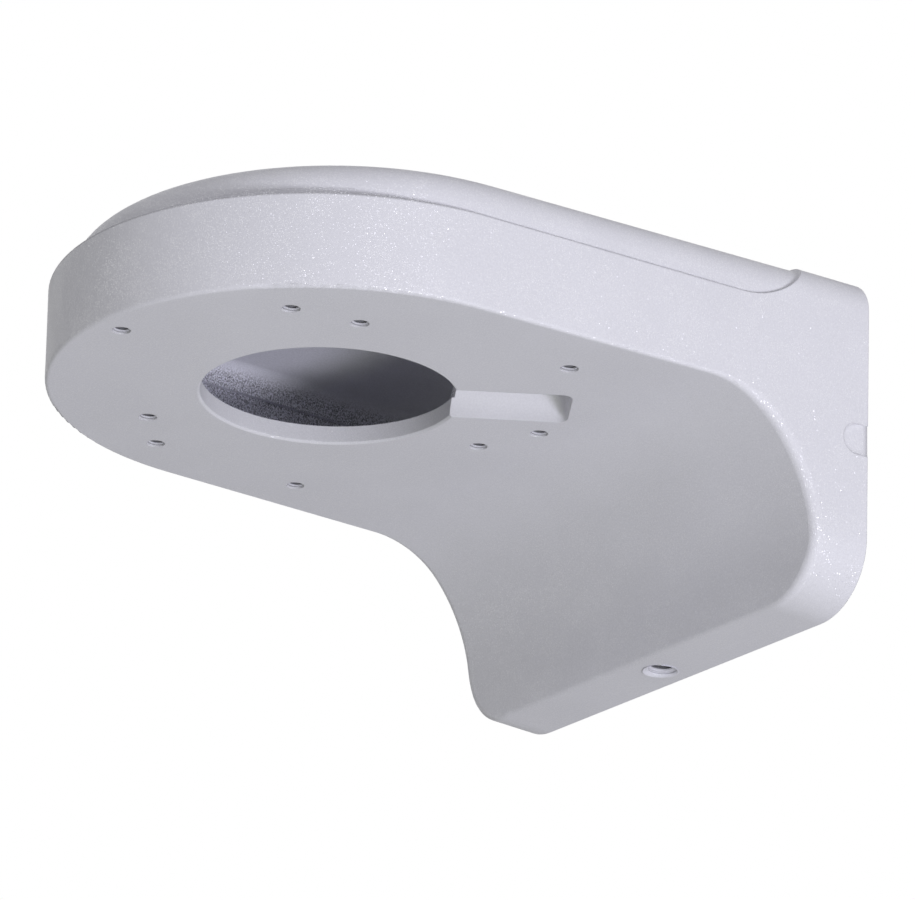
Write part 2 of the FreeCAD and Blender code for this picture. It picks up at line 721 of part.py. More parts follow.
plate = doc.addObject("PartDesign::Body", "wall_plate")
plate.Label = "wall_plate"
half_width = at.plate_width / 2
outline = sketch_on(plate, "plate_outline", "XZ_Plane")
polygon(outline, [
    (-half_width, -at.plate_half),
    (half_width, -at.plate_half),
    (half_width, at.plate_half),
    (-half_width, at.plate_half),
])
pad(plate, outline, at.plate_thick)


def along_y(half_x, half_z):
    """Picks the four edges along Y at the corners of a rectangle about the origin."""

    def wanted(edge):
        box = edge.BoundBox
        straight = near(box.XMin, box.XMax) and near(box.ZMin, box.ZMax)
        return straight and near(abs(box.XMin), half_x.value) and near(abs(box.ZMin), half_z.value)

    return wanted


round_edges(plate, "plate_corners", along_y(half_width, at.plate_half), at.plate_corner)

window_x = at.window_width / 2
window_z = at.window_height / 2
window = sketch_on(plate, "cable_window", "XZ_Plane")
polygon(window, [(-window_x, -window_z), (window_x, -window_z), (window_x, window_z), (-window_x, window_z)])
pocket(plate, window, at.plate_thick * 4, symmetric=True)
round_edges(plate, "window_corners", along_y(window_x, window_z), at.window_corner)

holes = sketch_on(plate, "wall_holes", "XZ_Plane")
for side in (-1, 1):
    for level in (-1, 1):
        circle(holes, at.wall_span_x / 2 * side, at.wall_span_z / 2 * level, at.wall_hole / 2)
pocket(plate, holes, at.plate_thick * 4, symmetric=True)

fold_outside = at.bend_inside + at.plate_thick
hook_bottom = at.hook_level - at.plate_thick
hook_root = at.plate_half - at.hook_neck
hook_inner = -(at.plate_thick + at.hook_slot)
hook_outer = hook_inner - at.plate_thick
hook_top = at.hook_level + at.hook_tip
for label, side in (("left", -1), ("right", 1)):
    hook = sketch_on(plate, "hook_" + label, "YZ_Plane", at.hook_spread / 2 * side)
    polygon(hook, [
        (ZERO, hook_root),
        (ZERO, at.hook_level),
        (hook_inner, at.hook_level),
        (hook_inner, hook_top),
        (hook_outer, hook_top),
        (hook_outer, hook_bottom),
        (-at.plate_thick, hook_bottom),
        (-at.plate_thick, hook_root),
    ])
    pad(plate, hook, at.hook_width, symmetric=True)

for name, corner, radius in (
    ("hook_fold_outer", (ZERO, at.hook_level), fold_outside),
    ("hook_fold_inner", (-at.plate_thick, hook_bottom), at.bend_inside),
    ("hook_tip_outer", (hook_outer, hook_bottom), fold_outside),
    ("hook_tip_inner", (hook_inner, at.hook_level), at.bend_inside),
):
    round_edges(plate, name, along_x(*corner), radius)

tongue_level = bottom + at.port_depth + at.tongue_gap
tongue_upper = tongue_level + at.plate_thick
tongue_root = -at.plate_half + at.hook_neck
tongue_front = -(at.foot_depth - at.wall - at.tongue_gap)
tongue = sketch_on(plate, "tongue", "YZ_Plane")
polygon(tongue, [
    (ZERO, tongue_root),
    (-at.plate_thick, tongue_root),
    (-at.plate_thick, tongue_upper),
    (tongue_front, tongue_upper),
    (tongue_front, tongue_level),
    (ZERO, tongue_level),
])
pad(plate, tongue, at.tongue_width, symmetric=True)
round_edges(plate, "tongue_fold_outer", along_x(ZERO, tongue_level), fold_outside)
round_edges(plate, "tongue_fold_inner", along_x(-at.plate_thick, tongue_upper), at.bend_inside)
lock_hole = sketch_on(plate, "lock_hole", "XY_Plane", tongue_level)
circle(lock_hole, at.port_side, -at.port_set, at.lock_hole / 2)
pocket(plate, lock_hole, at.plate_thick * 4, symmetric=True)

# The lock screw: a socket set screw with a dog point that reaches into the tongue's hole

screw = doc.addObject("PartDesign::Body", "lock_screw")
screw.Label = "lock_screw"
lock_radius = (at.port_screw - at.lock_play) / 2
tip_radius = at.lock_tip / 2
lock_low = bottom + at.lock_recess
lock_shoulder = bottom + at.port_depth
lock_high = lock_shoulder + at.lock_tip_length
profile = sketch_on(screw, "lock_profile", "XZ_Plane")
polygon(profile, [
    (ZERO, lock_low),
    (lock_radius - at.lock_edge, lock_low),
    (lock_radius, lock_low + at.lock_edge),
    (lock_radius, lock_shoulder - at.lock_edge),
    (lock_radius - at.lock_edge, lock_shoulder),
    (tip_radius, lock_shoulder),
    (tip_radius, lock_high - at.lock_edge),
    (tip_radius - at.lock_edge, lock_high),
    (ZERO, lock_high),
])
turned = screw.newObject("PartDesign::Revolution", "lock_turned")
turned.Profile = profile
turned.ReferenceAxis = (profile, ["V_Axis"])
turned.Angle = 360
doc.recompute()
socket = sketch_on(screw, "lock_socket", "XY_Plane", lock_low)
corner_radius = at.lock_key / 2 / cosine(Size(30.0, "30"))
socket_corners = []
for sixth in range(6):
    angle = Size(60.0 * sixth, str(60 * sixth))
    socket_corners.append((corner_radius * cosine(angle), corner_radius * sine(angle)))
polygon(socket, socket_corners)
socket_cut = screw.newObject("PartDesign::Pocket", "lock_socket_cut")
socket_cut.Profile = socket
socket_cut.Reversed = True
bind(socket_cut, "Length", at.lock_key_depth)
bind(screw, "Placement.Base.x", at.port_side)
bind(screw, "Placement.Base.y", -at.port_set)
doc.recompute()

# Checks and export

broken = [item.Label for item in doc.Objects if "Invalid" in item.State or "Error" in item.State]
if broken:
    raise RuntimeError("failed: " + ", ".join(broken))
os.makedirs("parts", exist_ok=True)
for node in (bracket, plate, screw):
    shape = node.Shape
    if shape.isNull() or not shape.isValid() or len(shape.Solids) != 1:
        raise RuntimeError(f"{node.Label} is not one valid solid")
for node in (bracket, plate, screw):
    node.Shape.exportStep(f"parts/{node.Label}.step")
    box = node.Shape.BoundBox
    spans = f"{box.XMin:.2f} {box.XMax:.2f} {box.YMin:.2f} {box.YMax:.2f} {box.ZMin:.2f} {box.ZMax:.2f}"
    print(node.Label, f"{node.Shape.Volume:.0f} mm3", spans)
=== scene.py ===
import bpy
import json
import math
from mathutils import Matrix, Vector


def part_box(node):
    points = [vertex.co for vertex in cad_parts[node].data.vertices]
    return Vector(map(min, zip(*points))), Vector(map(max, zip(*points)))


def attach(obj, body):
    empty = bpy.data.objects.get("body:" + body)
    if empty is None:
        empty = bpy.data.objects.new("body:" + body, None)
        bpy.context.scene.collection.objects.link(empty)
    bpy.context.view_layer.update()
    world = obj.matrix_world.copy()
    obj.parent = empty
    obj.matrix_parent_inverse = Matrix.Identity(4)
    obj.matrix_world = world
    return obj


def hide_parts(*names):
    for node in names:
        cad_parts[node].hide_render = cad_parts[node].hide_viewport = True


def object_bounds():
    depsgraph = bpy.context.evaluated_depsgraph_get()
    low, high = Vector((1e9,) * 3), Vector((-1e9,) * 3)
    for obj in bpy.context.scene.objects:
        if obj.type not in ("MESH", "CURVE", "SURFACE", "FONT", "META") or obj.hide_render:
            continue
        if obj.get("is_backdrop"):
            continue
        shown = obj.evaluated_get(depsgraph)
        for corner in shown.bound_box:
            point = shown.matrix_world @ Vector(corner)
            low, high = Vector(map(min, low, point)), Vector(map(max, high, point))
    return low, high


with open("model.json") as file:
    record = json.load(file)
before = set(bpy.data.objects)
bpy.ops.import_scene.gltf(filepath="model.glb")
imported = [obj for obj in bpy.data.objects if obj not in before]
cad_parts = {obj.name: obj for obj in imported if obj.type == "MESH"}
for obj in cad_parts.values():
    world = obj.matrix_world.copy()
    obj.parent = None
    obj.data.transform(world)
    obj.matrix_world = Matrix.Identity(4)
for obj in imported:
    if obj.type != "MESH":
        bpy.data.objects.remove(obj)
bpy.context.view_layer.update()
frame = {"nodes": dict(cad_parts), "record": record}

# The casting
# One hollow die-cast aluminium shell: arm, crown, sweep and leg in one pour. It is sprayed with a pale
# lavender-grey powder and baked, so the skin has a soft orange peel, a sandy grain and a few bright specks.

MM = 0.001
COAT_COLOUR = (0.738, 0.738, 0.772)
COAT_ROUGHNESS = 0.55
COAT_SPECULAR = 0.15
PEEL_SIZE = 1.5 * MM
PEEL_HEIGHT = 0.012 * MM
GRAIN_SIZE = 0.42 * MM
GRAIN_HEIGHT = 0.012 * MM


def feed(tree, socket, value):
    """Set a socket from a number, a colour or another node's output."""
    if isinstance(value, bpy.types.NodeSocket):
        tree.links.new(value, socket)
    else:
        socket.default_value = value


def add_node(tree, kind, **values):
    """A new node whose inputs are set by name, or by number after an underscore."""
    node = tree.nodes.new(kind)
    for name, value in values.items():
        key = int(name[1:]) if name[0] == "_" else name.replace("_", " ")
        feed(tree, node.inputs[key], value)
    return node


def add_math(tree, operation, *values):
    node = tree.nodes.new("ShaderNodeMath")
    node.operation = operation
    for i, value in enumerate(values):
        feed(tree, node.inputs[i], value)
    return node.outputs[0]


def add_vector_math(tree, operation, *values, scale=1.0):
    node = tree.nodes.new("ShaderNodeVectorMath")
    node.operation = operation
    for i, value in enumerate(values):
        feed(tree, node.inputs[i], value)
    if operation == "SCALE":
        feed(tree, node.inputs["Scale"], scale)
    return node.outputs["Value" if operation == "LENGTH" else "Vector"]


def add_ramp(tree, value, low, high, out_low=0.0, out_high=1.0):
    """A smooth step between two levels."""
    node = tree.nodes.new("ShaderNodeMapRange")
    node.interpolation_type = "SMOOTHSTEP"
    tree.links.new(value, node.inputs["Value"])
    for name, number in (("From Min", low), ("From Max", high), ("To Min", out_low), ("To Max", out_high)):
        node.inputs[name].default_value = number
    return node.outputs["Result"]


def new_group(name, inputs, outputs):
    """A shader node group with named sockets: its tree, what comes in and what goes out."""
    group = bpy.data.node_groups.new(name, "ShaderNodeTree")
    for label, kind, value in inputs:
        group.interface.new_socket(label, in_out="INPUT", socket_type=kind).default_value = value
    for label, kind in outputs:
        group.interface.new_socket(label, in_out="OUTPUT", socket_type=kind)
    entry = group.nodes.new("NodeGroupInput")
    end = group.nodes.new("NodeGroupOutput")
    return group, entry.outputs, end.inputs


def place_group(tree, group, **values):
    """The outputs of a group placed in a material, with its inputs set by name."""
    node = tree.nodes.new("ShaderNodeGroup")
    node.node_tree = group
    for name, value in values.items():
        feed(tree, node.inputs[name.replace("_", " ")], value)
    return node.outputs


def new_material(name):
    material = bpy.data.materials.new(name)
    material.use_nodes = True
    tree = material.node_tree
    return material, tree, tree.nodes["Principled BSDF"]


def paint(tree, shader, colour, other, share, shade):
    """Base Color goes from one colour to the other by a share, and a shade scales it."""
    tint = add_node(tree, "ShaderNodeMix", _0=share)
    tint.data_type = "RGBA"
    tint.inputs[6].default_value = (*colour, 1.0)
    tint.inputs[7].default_value = (*other, 1.0)
    shaded = add_vector_math(tree, "SCALE", tint.outputs[2], scale=shade)
    tree.links.new(shaded, shader.inputs["Base Color"])


# Powder grain: a soft orange peel with fine sand on it, as a height in metres and as a shade of its pits
powder_grain, grain_in, grain_out = new_group(
    "powder_grain",
    [
        ("Peel Size", "NodeSocketFloat", PEEL_SIZE),
        ("Peel Height", "NodeSocketFloat", PEEL_HEIGHT),
        ("Grain Size", "NodeSocketFloat", GRAIN_SIZE),
        ("Grain Height", "NodeSocketFloat", GRAIN_HEIGHT),
    ],
    [("Height", "NodeSocketFloat"), ("Shade", "NodeSocketFloat")],
)
tree = powder_grain
place = tree.nodes.new("ShaderNodeTexCoord").outputs["Object"]
peel_scale = add_math(tree, "DIVIDE", 1.0, grain_in["Peel Size"])
grain_scale = add_math(tree, "DIVIDE", 1.0, grain_in["Grain Size"])
peel = add_node(tree, "ShaderNodeTexNoise", Vector=place, Scale=peel_scale, Detail=1.0, Roughness=0.4)
grain = add_node(tree, "ShaderNodeTexNoise", Vector=place, Scale=grain_scale, Detail=2.0, Roughness=0.6)
peel_height = add_math(tree, "MULTIPLY", peel.outputs["Fac"], grain_in["Peel Height"])
grain_height = add_math(tree, "MULTIPLY", grain.outputs["Fac"], grain_in["Grain Height"])
tree.links.new(add_math(tree, "ADD", peel_height, grain_height), grain_out["Height"])
tree.links.new(add_ramp(tree, grain.outputs["Fac"], 0.25, 0.75), grain_out["Shade"])

coat, tree, shader = new_material("white_powder_coat")
place = tree.nodes.new("ShaderNodeTexCoord").outputs["Object"]
split = add_node(tree, "ShaderNodeSeparateXYZ", Vector=place)
geometry = tree.nodes.new("ShaderNodeNewGeometry")

# The hollow is what lies within the middle of the crown's and the arm's wall, above the arm's floor
WALL = 3.0 * MM
FLOOR = 4.2 * MM
CROWN_ROUND = 6.1 * MM
CROWN_BACK = 4.2 * MM
CROWN_INSET = 0.5 * MM
CROWN_SLOPE = math.radians(0.5)
CROWN_RISE = 20.9 * MM
WALL_BLUR = 0.2 * MM
FLOOR_BLUR = 0.3 * MM
body_low, body_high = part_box("bracket_body")
mounts = {mount["name"]: mount for mount in frame["record"]["mounts"]}
hole_centre = Vector(mounts["cable_bore"]["pos_m"])
underside = Vector(mounts["camera_seat"]["pos_m"]).z
nose_radius = hole_centre.y - body_low.y
flare = (body_high.x - nose_radius) / -hole_centre.y
side_start = nose_radius - CROWN_INSET - WALL / 2 - CROWN_ROUND
roof_start = body_high.z - CROWN_INSET - WALL / 2 - CROWN_ROUND
behind_nose = add_math(tree, "SUBTRACT", split.outputs["Y"], hole_centre.y + CROWN_BACK)
ahead = add_math(tree, "MINIMUM", behind_nose, 0.0)
from_axis = add_node(tree, "ShaderNodeCombineXYZ", X=split.outputs["X"], Y=ahead)
opened = add_math(tree, "MULTIPLY", add_math(tree, "MAXIMUM", behind_nose, 0.0), flare)
side_reach = add_math(tree, "SUBTRACT", add_vector_math(tree, "LENGTH", from_axis.outputs[0]), opened)
fallen = add_math(tree, "MULTIPLY", split.outputs["Y"], -math.tan(CROWN_SLOPE))
roof_reach = add_math(tree, "ADD", split.outputs["Z"], fallen)
beyond_side = add_math(tree, "MAXIMUM", add_math(tree, "SUBTRACT", side_reach, side_start), 0.0)
beyond_roof = add_math(tree, "MAXIMUM", add_math(tree, "SUBTRACT", roof_reach, roof_start), 0.0)
beyond_both = add_node(tree, "ShaderNodeCombineXYZ", X=beyond_side, Y=beyond_roof)
from_middle = add_vector_math(tree, "LENGTH", beyond_both.outputs[0])
within_wall = add_ramp(tree, from_middle, CROWN_ROUND - WALL_BLUR, CROWN_ROUND + WALL_BLUR, 1.0, 0.0)
floor_top = underside + FLOOR
above_floor = add_ramp(tree, split.outputs["Z"], floor_top - FLOOR_BLUR, floor_top + FLOOR_BLUR)
enclosed = add_math(tree, "MULTIPLY", within_wall, above_floor)

# The cable groove and its end lie above the floor's level too, but they are open to the outside
GROOVE_TURN = math.radians(31.4)
GROOVE_MIDDLE = 9.3 * MM
GROOVE_START = 18.0 * MM
GROOVE_END = 53.9 * MM
along_x = add_math(tree, "MULTIPLY", split.outputs["X"], math.sin(GROOVE_TURN))
from_hole = add_math(tree, "SUBTRACT", split.outputs["Y"], hole_centre.y)
along = add_math(tree, "MULTIPLY_ADD", from_hole, math.cos(GROOVE_TURN), along_x)
across_y = add_math(tree, "MULTIPLY", from_hole, -math.sin(GROOVE_TURN))
across = add_math(tree, "MULTIPLY_ADD", split.outputs["X"], math.cos(GROOVE_TURN), across_y)
over = add_math(tree, "SUBTRACT", split.outputs["Z"], underside)
across_squared = add_math(tree, "POWER", across, 2.0)
from_groove = add_math(tree, "SQRT", add_math(tree, "MULTIPLY_ADD", over, over, across_squared))
near_groove = add_ramp(tree, from_groove, GROOVE_MIDDLE - WALL_BLUR, GROOVE_MIDDLE + WALL_BLUR, 1.0, 0.0)
before_end = add_ramp(tree, along, GROOVE_END - WALL_BLUR, GROOVE_END + WALL_BLUR, 1.0, 0.0)
in_groove = add_math(tree, "MULTIPLY", near_groove, before_end)
in_groove = add_math(tree, "MULTIPLY", in_groove, add_math(tree, "GREATER_THAN", along, GROOVE_START))

# Deep inside, the spray only dusts the metal, so the upright walls are much sandier than the outside
# Painted shade: inside the hollow the coat is tinted bluer, and the upright walls' pits darken much further,
# for the dim hollow.
HOLLOW_SHADE_TINT = (0.74, 0.74, 0.81)
SAND_PEEL_SIZE = 2.2 * MM
SAND_PEEL_HEIGHT = 0.02 * MM
SAND_SIZE = 0.36 * MM
SAND_HEIGHT = 0.20 * MM
SAND_FADE = (-46 * MM, -24 * MM)
inside = add_math(tree, "MULTIPLY", enclosed, add_math(tree, "SUBTRACT", 1.0, in_groove))
deep = add_ramp(tree, split.outputs["Y"], *SAND_FADE, 1.0, 0.0)
inside = add_math(tree, "MULTIPLY", inside, deep)
normal_parts = add_node(tree, "ShaderNodeSeparateXYZ", Vector=geometry.outputs["Normal"])
level = add_math(tree, "ABSOLUTE", normal_parts.outputs["Z"])
sandy_and_shaded = add_math(tree, "MULTIPLY", inside, add_ramp(tree, level, 0.35, 0.95, 1.0, 0.12))
outside_grain = place_group(tree, powder_grain)
inside_grain = place_group(
    tree, powder_grain, Peel_Size=SAND_PEEL_SIZE, Peel_Height=SAND_PEEL_HEIGHT,
    Grain_Size=SAND_SIZE, Grain_Height=SAND_HEIGHT)
height = add_node(tree, "ShaderNodeMix", _0=sandy_and_shaded, _2=outside_grain["Height"], _3=inside_grain["Height"])

# The notch in the side ends in a soft hollow, so its edges are rounded further than the others
EDGE_ROUNDING = 0.35 * MM
NOTCH_ROUNDING = 2.2 * MM
NOTCH_SIDE = 60 * MM
NOTCH_FACING = -0.1
NOTCH_SPAN = (("Y", -7.2 * MM, -0.1 * MM), ("Z", underside - 9.8 * MM, underside - 2.3 * MM))
notch_floor = add_math(tree, "LESS_THAN", normal_parts.outputs["Y"], NOTCH_FACING)
for axis, low, high in NOTCH_SPAN:
    above = add_math(tree, "GREATER_THAN", split.outputs[axis], low)
    below = add_math(tree, "LESS_THAN", split.outputs[axis], high)
    notch_floor = add_math(tree, "MULTIPLY", notch_floor, add_math(tree, "MULTIPLY", above, below))
on_side = add_math(tree, "GREATER_THAN", split.outputs["X"], NOTCH_SIDE)
notch_floor = add_math(tree, "MULTIPLY", notch_floor, on_side)
rounding = add_math(tree, "MULTIPLY_ADD", notch_floor, NOTCH_ROUNDING - EDGE_ROUNDING, EDGE_ROUNDING)
edges = add_node(tree, "ShaderNodeBevel", Radius=rounding)
edges.samples = 6
bump = add_node(tree, "ShaderNodeBump", Strength=1.0, Distance=1.0, Height=height.outputs[0])
tree.links.new(edges.outputs[0], bump.inputs["Normal"])
tree.links.new(bump.outputs[0], shader.inputs["Normal"])

# A few powder grains stay as tiny mirrors tilted at random, which flash close to the lamp's reflection
FLAKE_SPACING = 0.30 * MM
FLAKE_SPOT = (0.30, 0.38)
FLAKE_SHARE = 0.6
FLAKE_PATCH = 9 * MM
FLAKE_TILT = 0.72
FLAKE_ROUGHNESS = 0.34
FLAKE_IOR = 3.4
flake_cells = add_node(tree, "ShaderNodeTexVoronoi", Vector=place, Scale=1.0 / FLAKE_SPACING)
flake_spot = add_ramp(tree, flake_cells.outputs["Distance"], *FLAKE_SPOT, 1.0, 0.0)
patches = add_node(tree, "ShaderNodeTexNoise", Vector=place, Scale=1.0 / FLAKE_PATCH, Detail=1.0)
fewest = 1.0 - 0.5 * FLAKE_SHARE
most = 1.0 - 1.5 * FLAKE_SHARE
flake_order = add_node(tree, "ShaderNodeTexWhiteNoise", Vector=flake_cells.outputs["Position"])
patch_share = add_ramp(tree, patches.outputs["Fac"], 0.35, 0.65, fewest, most)
flake_there = add_math(tree, "GREATER_THAN", flake_order.outputs["Value"], patch_share)
flake = add_math(tree, "MULTIPLY", flake_spot, flake_there)
covered = add_math(tree, "MAXIMUM", enclosed, in_groove)
outside = add_math(tree, "SUBTRACT", 1.0, covered)
tree.links.new(add_math(tree, "MULTIPLY", flake, outside), shader.inputs["Coat Weight"])
tilt = add_vector_math(tree, "SUBTRACT", flake_cells.outputs["Color"], (0.5, 0.5, 0.5))
tilt = add_vector_math(tree, "SCALE", tilt, scale=FLAKE_TILT)
tilted = add_vector_math(tree, "NORMALIZE", add_vector_math(tree, "ADD", edges.outputs[0], tilt))
tree.links.new(tilted, shader.inputs["Coat Normal"])
shader.inputs["Coat Roughness"].default_value = FLAKE_ROUGHNESS
shader.inputs["Coat IOR"].default_value = FLAKE_IOR

# A thin grey line of painted shade runs just under the edge of the step round the nose, where the step's
# crease falls into shade.
STEP_LEVEL = underside + CROWN_RISE
LINE_SHADE = -0.22
LINE_FADE = (-118 * MM, -102 * MM)
LINE_STOP = (-40 * MM, -34 * MM)
under_step = add_ramp(tree, split.outputs["Z"], STEP_LEVEL - 0.42 * MM, STEP_LEVEL - 0.25 * MM)
over_step = add_ramp(tree, split.outputs["Z"], STEP_LEVEL + 0.1 * MM, STEP_LEVEL + 0.2 * MM, 1.0, 0.0)
round_nose = add_ramp(tree, split.outputs["Y"], *LINE_FADE, 1.0, 0.35)
before_stop = add_ramp(tree, split.outputs["Y"], *LINE_STOP, 1.0, 0.0)
# Painted shade: this mask darkens a thin band just under the step, fading towards the wall.
painted_seam_shade = add_math(tree, "MULTIPLY", add_math(tree, "MULTIPLY", under_step, over_step), round_nose)
painted_seam_shade = add_math(tree, "MULTIPLY", add_math(tree, "MULTIPLY", painted_seam_shade, before_stop), outside)

# Shade: a faint change of tone over the whole skin, darker pits, much darker ones as painted shade deep in
# the hollow, and the grey line of painted shade under the step
TONE_PATCH = 30 * MM
tone = add_node(tree, "ShaderNodeTexNoise", Vector=place, Scale=1.0 / TONE_PATCH, Detail=2.0)
tone_level = add_ramp(tree, tone.outputs["Fac"], 0.3, 0.7, 0.985, 1.015)
pits = add_ramp(tree, outside_grain["Shade"], 0.0, 1.0, 0.965, 1.02)
# Painted shade: inside, the pits darken down to a third, which darkens the hollow's upright walls as a
# whole.
inner_pits_and_shade = add_ramp(tree, inside_grain["Shade"], 0.0, 1.0, 0.34, 1.18)
pit_level = add_node(tree, "ShaderNodeMix", _0=sandy_and_shaded, _2=pits, _3=inner_pits_and_shade)
shade = add_math(tree, "MULTIPLY", tone_level, pit_level.outputs[0])
shade = add_math(tree, "MULTIPLY", shade, add_math(tree, "MULTIPLY_ADD", painted_seam_shade, LINE_SHADE, 1.0))
paint(tree, shader, COAT_COLOUR, HOLLOW_SHADE_TINT, inside, shade)
shader.inputs["Roughness"].default_value = COAT_ROUGHNESS
shader.inputs["Specular IOR Level"].default_value = COAT_SPECULAR

casting = frame["nodes"]["bracket_body"]
casting.data.materials[0] = coat

# The foot of the crown's nose
# The crown stands furthest back at the tip, where its wall in the CAD body stops short of the step. This
# strip of the same casting carries the wall down to the step and closes the thin slot between the two.

SLOT_ROOF = underside + 23.0 * MM
SLOT_WALL = 2.6 * MM
SLOT_SPAN = (61.25 * MM, 61.44 * MM)
SLOT_BACK = -129.5 * MM
SAME_LEVEL = 0.02 * MM
END_TURN = math.radians(2)
LEDGE_REACH = 59.6 * MM
SKIN = 0.02 * MM
LAP = 0.45 * MM
FOOT_DEPTH = 2.2 * MM


def mesh_piece(name, points, faces, material, sharp_angle=40.0):
    mesh = bpy.data.meshes.new(name)
    mesh.from_pydata(points, [], faces)
    mesh.update()
    mesh.polygons.foreach_set("use_smooth", [True] * len(mesh.polygons))
    mesh.set_sharp_from_angle(angle=math.radians(sharp_angle))
    mesh.materials.append(material)
    piece = bpy.data.objects.new(name, mesh)
    bpy.context.scene.collection.objects.link(piece)
    return piece


# The slot's edge under the crown's wall, from one side of the nose to the other
crown_centre = Vector((0, hole_centre.y + CROWN_BACK))
bore_centre = Vector((0, hole_centre.y))
rim = {}
for vertex in casting.data.vertices:
    out = vertex.co.xy - crown_centre
    on_roof = abs(vertex.co.z - SLOT_ROOF) < SAME_LEVEL and vertex.co.y < SLOT_BACK
    if on_roof and SLOT_SPAN[0] < out.length < SLOT_SPAN[1]:
        rim[round(math.degrees(math.atan2(out.x, -out.y)), 1)] = vertex.co.xy
rim = [rim[angle] for angle in sorted(rim)]
for _ in range(2):
    rim.insert(0, crown_centre + Matrix.Rotation(-END_TURN, 2) @ (rim[0] - crown_centre))
    rim.append(crown_centre + Matrix.Rotation(END_TURN, 2) @ (rim[-1] - crown_centre))
points = []
faces = []
for i, place in enumerate(rim):
    out = (place - crown_centre).normalized()
    fade = min(1.0, 0.1 + i / 4, 0.1 + (len(rim) - 1 - i) / 4)
    start = place - bore_centre
    reach = -start.dot(out) + math.sqrt(start.dot(out) ** 2 + LEDGE_REACH ** 2 - start.length_squared)
    skin = -SKIN if i in (0, len(rim) - 1) else SKIN
    section = [
        (reach, STEP_LEVEL - FOOT_DEPTH),
        (reach, STEP_LEVEL + skin),
        (skin, STEP_LEVEL + skin),
        (skin, SLOT_ROOF + LAP),
        (-SLOT_WALL * fade, SLOT_ROOF + LAP),
        (-SLOT_WALL * fade, STEP_LEVEL - FOOT_DEPTH),
    ]
    points += [(*(place + out * shift), level) for shift, level in section]
sides = len(section)
for i in range(len(rim) - 1):
    for j in range(sides):
        a = sides * i + j
        b = sides * i + (j + 1) % sides
        faces.append((a, a + sides, b + sides, b))
faces.append(tuple(range(sides)))
faces.append(tuple(len(points) - 1 - j for j in range(sides)))
crown_foot = mesh_piece("crown_foot", points, faces, coat)
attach(crown_foot, "root")

# Threads of the camera screws
# Nine M4 threads are tapped through the arm's floor and its bosses, on three circles about the cable hole.
# The coat's colour holds on the first turn. The roots and the depth of the hole are painted dark as painted
# shade for the shadow inside the threads.

THREAD_COLOUR = (0.80, 0.80, 0.86)
THREAD_DEPTH_SHADE = (0.10, 0.10, 0.11)
THREAD_ROUGHNESS = 0.45
THREAD_GRAIN = 0.006 * MM
THREAD_STEPS = 40
THREAD_SINK = 0.04 * MM
THREAD_RUN_OUT = 0.4
CREST_HALF = 0.16
CREST_DEPTH_SHADE = 0.8
MOUTH_GAP = 0.03 * MM
SCREW_TURNS = {"camera_circle_small": 4.6, "camera_circle_middle": -13.3, "camera_circle_large": 63.7}
SCREW_RADIUS = 2.0 * MM
SCREW_CREST = 1.62 * MM
SCREW_PITCH = 0.7 * MM
SCREW_START = 0.35 * MM
SCREW_END_GAP = 0.5 * MM
SCREW_PHASE = math.radians(-61)
SCREW_COATED = (SCREW_START, (0.05 * MM, 0.4 * MM), (0.95 * MM, 1.4 * MM))
BOSS_RISE = 5.0 * MM

thread_coat, tree, shader = new_material("coat_in_threads")
thread_grain = place_group(tree, powder_grain, Peel_Height=THREAD_GRAIN, Grain_Height=THREAD_GRAIN)
bump = add_node(tree, "ShaderNodeBump", Strength=1.0, Distance=1.0, Height=thread_grain["Height"])
tree.links.new(bump.outputs[0], shader.inputs["Normal"])
# Painted shade: a per-point share darkens the thread's roots and the depth of the hole towards a near-black
# colour.
depth_shade_share = tree.nodes.new("ShaderNodeAttribute")
depth_shade_share.attribute_name = "depth_shade"
thread_shade = add_ramp(tree, thread_grain["Shade"], 0.0, 1.0, 0.95, 1.03)
paint(tree, shader, THREAD_COLOUR, THREAD_DEPTH_SHADE, depth_shade_share.outputs["Fac"], thread_shade)
shader.inputs["Roughness"].default_value = THREAD_ROUGHNESS


def step_up(value, low, high):
    """A smooth step from 0 to 1 between two levels."""
    share = min(1.0, max(0.0, (value - low) / (high - low)))
    return share * share * (3 - 2 * share)


def thread_ridge(start, radius, crest, pitch, turns, phase, lead, coated):
    """A right-hand inner thread that winds upwards: its points, its faces and how much painted shade each
    point gets.

    coated holds how far the start lies above the mouth, and over which heights above the mouth the root and
    the crest go from the coat's colour to painted shade.
    """
    first, root_span, crest_span = coated
    points = []
    faces = []
    depth_shade = []
    count = int(turns * THREAD_STEPS)
    for i in range(count + 1):
        angle = 2 * math.pi * i / THREAD_STEPS + phase
        fade = step_up(min(i, count - i) / (THREAD_RUN_OUT * THREAD_STEPS), 0.0, 1.0)
        for on_crest, share in ((False, -0.5), (True, -CREST_HALF), (True, CREST_HALF), (False, 0.5)):
            above = max(MOUTH_GAP, first + pitch * (i / THREAD_STEPS + share))
            wall = radius + max(0.0, lead - above)
            r = wall - (radius - crest) * fade if on_crest else wall + THREAD_SINK
            level = start.z - first + above
            points.append((start.x + r * math.cos(angle), start.y + r * math.sin(angle), level))
            # Painted shade: roots darken with height above the mouth, and crests do too, but less.
            depth_shade.append(CREST_DEPTH_SHADE * step_up(above, *crest_span) if on_crest else step_up(above, *root_span))
    for i in range(count):
        for j in range(4):
            a = 4 * i + j
            b = 4 * i + (j + 1) % 4
            faces.append((a, b, b + 4, a + 4))
    faces.append((3, 2, 1, 0))
    last = 4 * count
    faces.append((last, last + 1, last + 2, last + 3))
    return points, faces, depth_shade


def mark_depth_shade(piece, depth_shade):
    piece.data.attributes.new("depth_shade", "FLOAT", "POINT").data.foreach_set("value", depth_shade)


